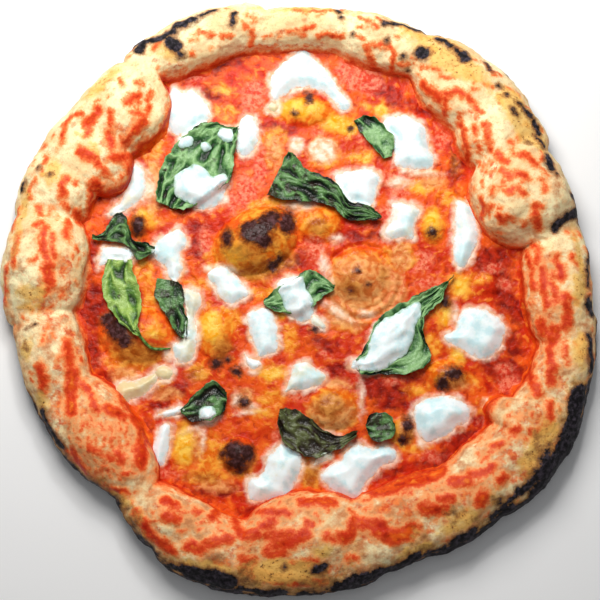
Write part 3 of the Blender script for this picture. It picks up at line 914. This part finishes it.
def crust_points():
    """The rim from the bed up its inner side, over the top, round to the flat base, and the base."""
    direction = np.linspace(0, math.tau, CRUST_SEGMENTS, endpoint=False)
    inner, outer, crest = rim_size(direction)
    outer = outer - DENT * np.exp(-((np.degrees(direction) - DENT_DIRECTION) / DENT_HALF_ANGLE) ** 2)
    half = (outer - inner) / 2
    middle = inner + half
    belly = BELLY * crest
    base = outer - BASE_TUCK
    ring = np.stack([inner * np.cos(direction), inner * np.sin(direction), 0 * direction], -1)
    reach = FILLET_REACH + 2.5 * noise(ring, 12.0, 5, 2)
    turn = np.linspace(0, math.pi / 2, FILLET_RINGS, endpoint=False)[:, None]
    low = BED_EDGE - 1.2
    fillet_radius = inner - reach * (1 - np.sin(turn))
    fillet_height = belly - (belly - low) * np.cos(turn)
    angle = np.linspace(0, 1.5 * math.pi, CRUST_RINGS)[:, None]
    rise = np.where(np.sin(angle) > 0, crest - belly, belly)
    over = angle > math.pi
    radius = np.where(over, base - (outer - base) * np.cos(angle), middle - half * np.cos(angle))
    height = belly + rise * np.sin(angle)
    lump = RIM_LUMP * ripple(radius * np.cos(direction), radius * np.sin(direction), RIM_LUMP_SPAN, seed=8)
    height += lump * np.clip(np.sin(angle), 0, 1)
    radius = np.concatenate([fillet_radius, radius])
    height = np.concatenate([fillet_height, height])
    rows = [np.stack([radius * np.cos(direction), radius * np.sin(direction), height], -1)]
    for step in range(1, UNDER_RINGS + 1):
        flat = base * (1 - step / (UNDER_RINGS + 0.2))
        rows.append(np.stack([flat * np.cos(direction), flat * np.sin(direction), 0 * flat], -1)[None])
    return np.concatenate(rows)


class Rounded:
    """The rim's surface, on which marks are anchored where the main viewpoint sees them."""

    def __init__(self, points, normals):
        self.points = points
        facing = np.flatnonzero((normals @ VIEW_BACK > 0.05) & (points[:, 2] > 4))
        self.facing, self.normals = facing, normals
        self.seen = seen_at(points[facing], RIM_PLANE)

    def anchor(self, spot):
        gap = self.seen - spot
        return self.facing[int(np.argmin(np.einsum("ij,ij->i", gap, gap)))]

    def ovals(self, warped, marks):
        """The deepest of a set of ovals, measured in space so that they follow the surface."""
        depth = np.full(len(warped), -30.0)
        for mark in marks:
            at = self.anchor((mark.x, mark.y))
            turn = math.radians(mark.turn)
            along = np.array([math.cos(turn), math.sin(turn), 0.0])
            along -= self.normals[at] * (along @ self.normals[at])
            along /= np.linalg.norm(along)
            offset = warped - self.points[at]
            share = offset @ along
            rest = np.sqrt(np.maximum(np.einsum("ij,ij->i", offset, offset) - share ** 2, 0))
            depth = np.maximum(depth, oval_depth(share, rest, mark.long, mark.wide))
        return depth

    def strokes(self, warped, strokes):
        """Paths given as seen, each with a half width first, laid on the surface."""
        laid = []
        for wide, *path in strokes:
            knots = np.array(path, dtype=float)
            lengths = np.linalg.norm(np.diff(knots, axis=0), axis=1)
            spots = smooth_path(knots, 2 + int(lengths.sum() / 3.5)) if len(knots) > 1 else knots
            laid.append((wide, self.points[[self.anchor(spot) for spot in spots]]))
        return lay_strokes(warped, laid)


def lay_strokes(warped, laid):
    """The deepest of a set of strokes whose paths are points in space."""
    depth = np.full(len(warped), -30.0)
    for wide, path in laid:
        middle = path.mean(0)
        limit = np.linalg.norm(path - middle, axis=1).max() + wide + 8
        near = np.flatnonzero(np.abs(warped - middle).max(axis=1) < limit)
        away = np.full(len(near), np.inf)
        for start, end in zip(path, path[1:] if len(path) > 1 else path):
            away = np.minimum(away, segment_distance(warped[near], start, end))
        depth[near] = np.maximum(depth[near], wide - away)
    return depth


def spatter_strokes(rows):
    """Small dashes of sauce strewn over the rim, more of them towards its inner side."""
    rng = np.random.default_rng(77)
    laid = []
    while len(laid) < SPATTER_COUNT:
        column = int(rng.integers(CRUST_SEGMENTS))
        if rng.random() > around(math.tau * column / CRUST_SEGMENTS, SPATTER):
            continue
        row = FILLET_RINGS + int(CRUST_RINGS * 0.62 * rng.random() ** 1.3)
        half = max(1, int(rng.uniform(0.6, 2.4)))
        slant = int(rng.integers(-2, 3))
        columns = [(column + step * half) % CRUST_SEGMENTS for step in (-1, 0, 1)]
        path = np.array([rows[row + step * slant // 2, at] for step, at in zip((-1, 0, 1), columns)])
        laid.append((rng.uniform(0.3, 1.25), path))
    return laid


def make_crust(material):
    rows = crust_points()
    count = rows.shape[0]
    points = rows.reshape(-1, 3)
    faces = grid_faces(count, CRUST_SEGMENTS, wrap=True)[:, ::-1].tolist()
    last = (count - 1) * CRUST_SEGMENTS
    points = np.concatenate([points, [[0.0, 0.0, 0.0]]])
    centre = len(points) - 1
    faces += [[last + i, centre, last + (i + 1) % CRUST_SEGMENTS] for i in range(CRUST_SEGMENTS)]
    crust = make_object("crust", points, faces, material)
    normals = normals_of(crust)
    rim = Rounded(points, normals)

    warp = np.stack([noise(points, 5.0, seed, 2) for seed in (11, 12, 13)], -1)
    direction = np.arctan2(points[:, 1], points[:, 0])
    ruddy = around(direction, RUDDY)
    smear = rim.strokes(points + 1.2 * warp, SMEARS) + 1.6 * ruddy
    smear = np.maximum(smear, lay_strokes(points + 0.8 * warp, spatter_strokes(rows)))
    stain = rim.ovals(points + 3 * warp, TINTS)
    toast = rim.ovals(points + 3 * warp, TOASTED)
    char = rim.strokes(points + 1.5 * warp, CHARS)

    radius = np.hypot(points[:, 0], points[:, 1])
    inner, outer, crest = rim_size(direction)
    inward = radius < (inner + outer) / 2
    climb = around(direction, SAUCE_CLIMB) * (1 + 0.7 * noise(points, 14.0, 20))
    climb += 3.0 * noise(points, 8.0, 21, 3)
    lap = np.where(inward, 0.6 * (BED_EDGE + 1 + climb - points[:, 2]), -30)
    smear = np.maximum(smear, lap)
    stain = np.minimum(np.maximum(stain, lap + 3 + 3 * noise(points, 16.0, 22, 2)), STAIN_DEPTH)
    scorch = around(direction, SCORCH) * (1 + 0.6 * noise(points, 15.0, 24, 3)) - 1.5
    scorch += 2.0 * noise(points, 4.0, 25, 2)
    toast = np.maximum(toast, np.where(inward, -30, 0.5 * (scorch + 3.5 - points[:, 2])))
    char = np.maximum(char, np.where(inward, -30, 0.5 * (scorch - points[:, 2])))
    under = (points[:, 2] < 0.5) & (radius < outer - BASE_TUCK)
    leopard = 9 * noise(points, 17.0, 23, 3) - 1.5
    toast = np.where(under, leopard + 2, toast)
    char = np.where(under, leopard - 2.5, char)
    fields = {"smear": smear, "stain": stain, "toast": toast, "char": char, "ruddy": ruddy}
    for name, values in fields.items():
        store(crust, name, values)

    lift = 1.5 * noise(points, 18.0, 30, 2) + 0.8 * noise(points, 7.0, 31, 2) + 0.35 * noise(points, 3.2, 32, 2)
    lift += 0.35 * smooth_step(smear, -0.5, 1.0)
    lift += 0.8 * smooth_step(char, -2.0, 1.5) * (0.6 + 0.6 * noise(points, 6.0, 33, 2))
    flat_part = smooth_step(points[:, 2], 0.2, 3.0)
    move_points(crust, points + normals * (lift * flat_part)[:, None])
    return crust


def cheese_outline(cheese, seed):
    """A piece's outline where it lies, with a step of about a millimetre, made uneven."""
    corners = np.array(cheese.corners, dtype=float)
    around_it = np.linalg.norm(np.roll(corners, -1, axis=0) - corners, axis=1).sum()
    outline = smooth_path(corners, int(around_it / 0.85), closed=True)
    outline = settle(outline, 0.5 * cheese.thick)
    ahead = np.roll(outline, -1, axis=0) - np.roll(outline, 1, axis=0)
    side = np.stack([ahead[:, 1], -ahead[:, 0]], -1) / np.linalg.norm(ahead, axis=1)[:, None]
    wander = 0.9 * noise(on_plane(*outline.T) + seed, 4.0, seed, 3, 0.6)
    return outline + side * wander[:, None]


def cheese_edge(x, y):
    """Distance inside the nearest cheese outline, in mm; negative outside."""
    depth = np.full(np.shape(x), -8.0)
    for cheese, seed in CHEESE_SEEDS:
        depth = np.maximum(depth, outline_depth(x, y, cheese_outline(cheese, seed), 8))
    return depth


def make_bed(material):
    axis = np.arange(-146, 146 + BED_STEP, BED_STEP)
    x, y = np.meshgrid(axis, axis)
    x, y = x.ravel(), y.ravel()
    keep = np.hypot(x, y) < foot_radius(np.arctan2(y, x)) + BED_TUCK
    number = np.full(len(x), -1)
    number[keep] = np.arange(keep.sum())
    faces = grid_faces(len(axis), len(axis), wrap=False)
    faces = number[faces[np.all(keep[faces], axis=1)]]
    x, y = x[keep], y[keep]
    flat = on_plane(x, y)

    height = bed_height(x, y)
    seen = seen_at(np.stack([x, y, height], -1), BED_PLANE)
    warp = np.stack([noise(flat, 7.0, seed, 3) for seed in (41, 42)], -1)
    sx, sy = (seen + 2.4 * warp).T
    edge = cheese_edge(x, y)
    fields = {
        "deep": flat_depth(sx, sy, DEEP_SAUCE),
        "pulp": flat_depth(sx, sy, PULPY_SAUCE),
        "melt": flat_depth(sx, sy, OILY_MELT),
        "amber": flat_depth(sx, sy, AMBER),
        "brown": flat_depth(sx, sy, BROWNED),
        "peach": flat_depth(sx, sy, PEACH),
        "burnt": flat_depth(*(seen + 0.9 * warp).T, BURNT),
        "film": np.maximum(flat_depth(sx, sy, CREAM_FILM), edge + 1.6 + 2.8 * noise(flat, 7.0, 43, 3)),
    }
    pulp = smooth_step(fields["pulp"], -2, 2)
    relief = (0.40 + 0.25 * pulp) * noise(flat, 5.5, 51, 3, 0.6) + 0.20 * noise(flat, 1.8, 52, 2)
    relief += 0.5 * smooth_step(fields["film"], -1, 1) + 0.25 * smooth_step(fields["burnt"], -1, 1)
    round_one = BLISTERS["round"]
    away = np.hypot(x - round_one.x - 2, y - round_one.y + 3) + 1.5 * noise(flat, 12.0, 53, 2)
    relief += 0.55 * np.sin(1.15 * away) * smooth_step(away, 13, 16) * smooth_step(away, 26, 21)
    bed = make_object("sauce_bed", np.stack([x, y, height + relief], -1), faces.tolist(), material)
    for name, values in fields.items():
        store(bed, name, values)
    return bed


# ------------------------------------------------------------------ toppings

LEAF_STEP = 0.5


def folds_of(along, across, seed):
    """Crumpled folds of about -1 to 1 that run mostly along the leaf."""
    spot = np.stack([along * 0.6, across, 0 * along], -1)
    spot[:, 1] += 3.0 * noise(spot, 9.0, seed, 2)
    sharp = 1 - 3.4 * np.abs(noise(spot, 8.5, seed + 50, 2))
    return 0.85 * sharp + 0.5 * noise(spot, 3.4, seed + 90, 3, 0.6)


def make_leaf(index, leaf, materials):
    seed = 20 + index
    rows = np.array(leaf.rows, dtype=float)
    length = np.linalg.norm(np.diff(rows.mean(1), axis=0), axis=1).sum()
    width = np.linalg.norm(rows[:, 0] - rows[:, 1], axis=1).max()
    down, over = int(length / LEAF_STEP), int(width / LEAF_STEP)
    edges = smooth_path(rows, down)
    v = np.linspace(0, 1, over)
    flat = (edges[:, None, 0] * (1 - v)[:, None] + edges[:, None, 1] * v[:, None]).reshape(-1, 2)
    along = np.repeat(np.linspace(0, length, down), over)
    across = np.tile((v - 0.5), down) * width
    side = np.tile(np.abs(2 * v - 1), down)
    ragged = np.stack([noise(on_plane(*flat.T), 5.0, seed + shift, 3, 0.6) for shift in (3, 4)], -1)
    flat += 1.6 * ragged * side[:, None]
    spot = settle(flat, leaf.crumple)
    x, y = spot.T
    folds = folds_of(along, across, seed)
    curl = 1.3 * side ** 4 * (1 + 1.5 * noise(on_plane(x, y), 9.0, seed + 7))
    raised = leaf.crumple * (0.8 + 0.75 * folds) + curl
    z = bed_height(x, y) + GAP + np.maximum(raised, 0.1)
    top = np.stack([x, y, z + LEAF_THICKNESS], -1)
    bottom = np.stack([x, y, z], -1)
    sheet = grid_faces(down, over, wrap=False)
    span, tilt = top[over] - top[0], top[1] - top[0]
    if np.cross(tilt, span)[2] < 0:
        sheet = sheet[:, ::-1]
    faces = closed_sheet(sheet.tolist(), len(top))
    piece = make_object(
        f"basil_leaf_{index:02d}", np.concatenate([top, bottom]), faces, materials[leaf.look])
    store(piece, "fold", np.concatenate([folds, folds]))
    return piece


def make_tendril(material):
    """A thin stalk that trails from the end of a leaf."""
    path = settle(smooth_path(TENDRIL, 40), 1.0)
    ahead = np.gradient(path, axis=0)
    side = np.stack([ahead[:, 1], -ahead[:, 0]], -1) / np.linalg.norm(ahead, axis=1)[:, None]
    thick = np.interp(np.linspace(0, 1, 40), (0, 0.15, 0.8, 1), (1.3, 0.8, 0.9, 0.2))[:, None]
    turn = np.linspace(0, math.tau, 10, endpoint=False)
    flat = path[:, None] + side[:, None] * (thick * np.cos(turn))[..., None]
    height = bed_height(path[:, 0], path[:, 1])[:, None] + 1.0 + thick * np.sin(turn)
    points = np.concatenate([flat, height[..., None]], -1).reshape(-1, 3)
    faces = grid_faces(40, 10, wrap=True).tolist() + [list(range(10))[::-1], list(range(390, 400))]
    piece = make_object("basil_stalk", points, faces, material)
    store(piece, "fold", 0.2 * np.sin(points[:, 0] * 2.0))
    return piece


def rest_height(x, y, leaves):
    """What cheese rests on, evened out over a couple of millimetres, and how far that is a leaf."""
    total, leafy = np.zeros(len(x)), np.zeros(len(x))
    offsets = [(0, 0)] + [(1.4 * math.cos(a), 1.4 * math.sin(a)) for a in np.arange(0, 6.2, 1.05)]
    for dx, dy in offsets:
        height = bed_height(x + dx, y + dy)
        for index in range(len(x)):
            hit = leaves.ray_cast(Vector((x[index] + dx, y[index] + dy, 90.0)), Vector((0, 0, -1)))[0]
            if hit is not None:
                height[index] = max(height[index], hit.z)
                leafy[index] += 1 / len(offsets)
        total += height
    return total / len(offsets), leafy


def cheese_sheet(outline):
    """Points and triangles that fill an outline, closer together near its edge."""
    ahead = np.roll(outline, -1, axis=0) - np.roll(outline, 1, axis=0)
    side = np.stack([-ahead[:, 1], ahead[:, 0]], -1) / np.linalg.norm(ahead, axis=1)[:, None]
    x, y = outline.T
    area = 0.5 * np.sum(x * np.roll(y, -1) - np.roll(x, -1) * y)
    side *= math.copysign(1, area)
    spots = [outline]
    for inset in (0.25, 0.6, 1.1, 1.8):
        ring = outline + side * inset
        spots.append(ring[outline_depth(*ring.T, outline, 3) > 0.8 * inset])
    low, high = outline.min(0), outline.max(0)
    grid = np.stack(np.meshgrid(np.arange(low[0], high[0], 0.9), np.arange(low[1], high[1], 0.9)), -1)
    grid = grid.reshape(-1, 2) + 0.05 * np.sin(grid.reshape(-1, 2)[:, ::-1] * 9)
    spots.append(grid[outline_depth(*grid.T, outline, 3) > 2.3])
    flat = np.concatenate(spots)
    found = delaunay_2d_cdt([Vector(spot) for spot in flat], [], [list(range(len(outline)))], 1, 1e-4)
    return np.array([list(spot) for spot in found[0]]), [list(face) for face in found[2]]


def make_cheese(name, cheese, seed, leaves, material):
    """Melted cheese that follows what it lies on, thick in the middle and thin at its edge."""
    outline = cheese_outline(cheese, seed)
    flat, faces = cheese_sheet(outline)
    x, y = flat.T
    inside = np.maximum(outline_depth(x, y, outline, 3), 0)
    share = np.clip(inside / (1.9 * cheese.thick), 0, 1)
    dome = 0.5 * (1 - (1 - share) ** 1.8) + 0.5 * smooth_step(share, 0, 1)
    lumps = 0.18 * noise(on_plane(x, y), 10.0, seed + 200, 2)
    rest, leafy = rest_height(x, y, leaves)
    rest += GAP
    top = np.stack([x, y, rest + 0.15 + cheese.thick * dome * (1 + lumps)], -1)
    bottom = np.stack([x, y, rest - 0.5], -1)
    turned = [face if np.cross(flat[face[1]] - flat[face[0]], flat[face[2]] - flat[face[0]]) > 0
              else face[::-1] for face in faces]
    piece = make_object(name, np.concatenate([top, bottom]), closed_sheet(turned, len(flat)), material)
    store(piece, "inside", np.concatenate([inside, 0 * inside]))
    store(piece, "leafy", np.concatenate([leafy, leafy]))
    store(piece, "cream", np.full(2 * len(flat), cheese.cream))
    return piece


CHEESE_SEEDS = [(cheese, 30 + index) for index, cheese in enumerate(CHEESES + CHEESE_BITS, start=1)]

# ------------------------------------------------------------------ the pizza


def keep(piece, slot, *nodes):
    """Put a piece on the pizza, in place of its solid if it has one."""
    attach(piece, "root")
    if nodes:
        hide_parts(*nodes)
    return piece


keep(make_crust(crust_material()), "dough", "dough")
keep(make_bed(bed_material()), "dough", "dough")

LEAF_LOOKS = {
    "green": basil_material(
        "basil_green", to_linear(138, 182, 118), to_linear(46, 98, 42), to_linear(10, 28, 12), 0.60),
    "bright": basil_material(
        "basil_bright", to_linear(158, 190, 96), to_linear(84, 128, 46), to_linear(30, 52, 20), 0.64),
    "dark": basil_material(
        "basil_dark", to_linear(98, 142, 80), to_linear(28, 56, 26), to_linear(9, 16, 9), 0.50),
    "wilted": basil_material(
        "basil_wilted", to_linear(96, 104, 60), to_linear(50, 44, 20), to_linear(22, 16, 10), 0.50),
}
leaf_pieces = []
for number, leaf in enumerate(LEAVES, start=1):
    piece = keep(make_leaf(number, leaf, LEAF_LOOKS), "basil", f"basil_{number:02d}")
    leaf_pieces.append(piece)
keep(make_tendril(LEAF_LOOKS["bright"]), "basil")

tree_points, tree_faces = [], []
for piece in leaf_pieces:
    first = len(tree_points)
    tree_points += [vertex.co / MM for vertex in piece.data.vertices]
    tree_faces += [[first + corner for corner in face.vertices] for face in piece.data.polygons]
leaf_tree = BVHTree.FromPolygons(tree_points, tree_faces)

cheese_look = mozzarella_material()
for number, (cheese, seed) in enumerate(CHEESE_SEEDS, start=1):
    if number <= len(CHEESES):
        name, nodes = f"cheese_{number:02d}", [f"mozzarella_{number:02d}"]
    else:
        name, nodes = f"cheese_bit_{number - len(CHEESES):02d}", []
    keep(make_cheese(name, cheese, seed, leaf_tree, cheese_look), "mozzarella", *nodes)

# ------------------------------------------------------------------ floor, light and camera

FLOOR = 3.0
floor_mesh = bpy.data.meshes.new("floor")
floor_mesh.from_pydata(
    [(-FLOOR, -FLOOR, 0), (FLOOR, -FLOOR, 0), (FLOOR, FLOOR, 0), (-FLOOR, FLOOR, 0)], [], [(0, 1, 2, 3)])
floor_mesh.materials.append(floor_material())
floor = bpy.data.objects.new("floor", floor_mesh)
bpy.context.scene.collection.objects.link(floor)

world = bpy.data.worlds.new("studio")
world.use_nodes = True
world.node_tree.nodes["Background"].inputs["Color"].default_value = (0.97, 0.98, 1.0, 1)
world.node_tree.nodes["Background"].inputs["Strength"].default_value = 0.19
bpy.context.scene.world = world


def add_area_light(name, place, aim, size, power, colour):
    light = bpy.data.lights.new(name, "AREA")
    light.shape = "DISK"
    light.size = size
    light.energy = power
    light.color = colour
    lamp = bpy.data.objects.new(name, light)
    bpy.context.scene.collection.objects.link(lamp)
    lamp.location = place
    lamp.rotation_mode = "QUATERNION"
    lamp.rotation_quaternion = (Vector(aim) - Vector(place)).to_track_quat("-Z", "Y")
    return lamp


add_area_light("key", (-0.08, 0.30, 0.44), (0, 0.05, 0), 0.35, 3.05, (1.0, 0.985, 0.96))
add_area_light("window", (0.06, 0.45, 0.56), (0, 0.05, 0), 0.06, 0.6, (1.0, 1.0, 1.0))
add_area_light("top", (0.1, 0.1, 1.3), (0, 0, 0), 1.0, 1.0, (1.0, 1.0, 1.0))

camera = bpy.data.objects.new("camera", bpy.data.cameras.new("camera"))
bpy.context.scene.collection.objects.link(camera)
camera.data.lens = LENS
camera.data.sensor_width = 36.0
camera.location = EYE * MM
camera.rotation_euler = (math.radians(90 - VIEW_ELEVATION), 0, 0)
camera.data.clip_start = 0.01
camera.data.clip_end = 20
bpy.context.scene.camera = camera
bpy.context.scene.view_settings.view_transform = "Standard"
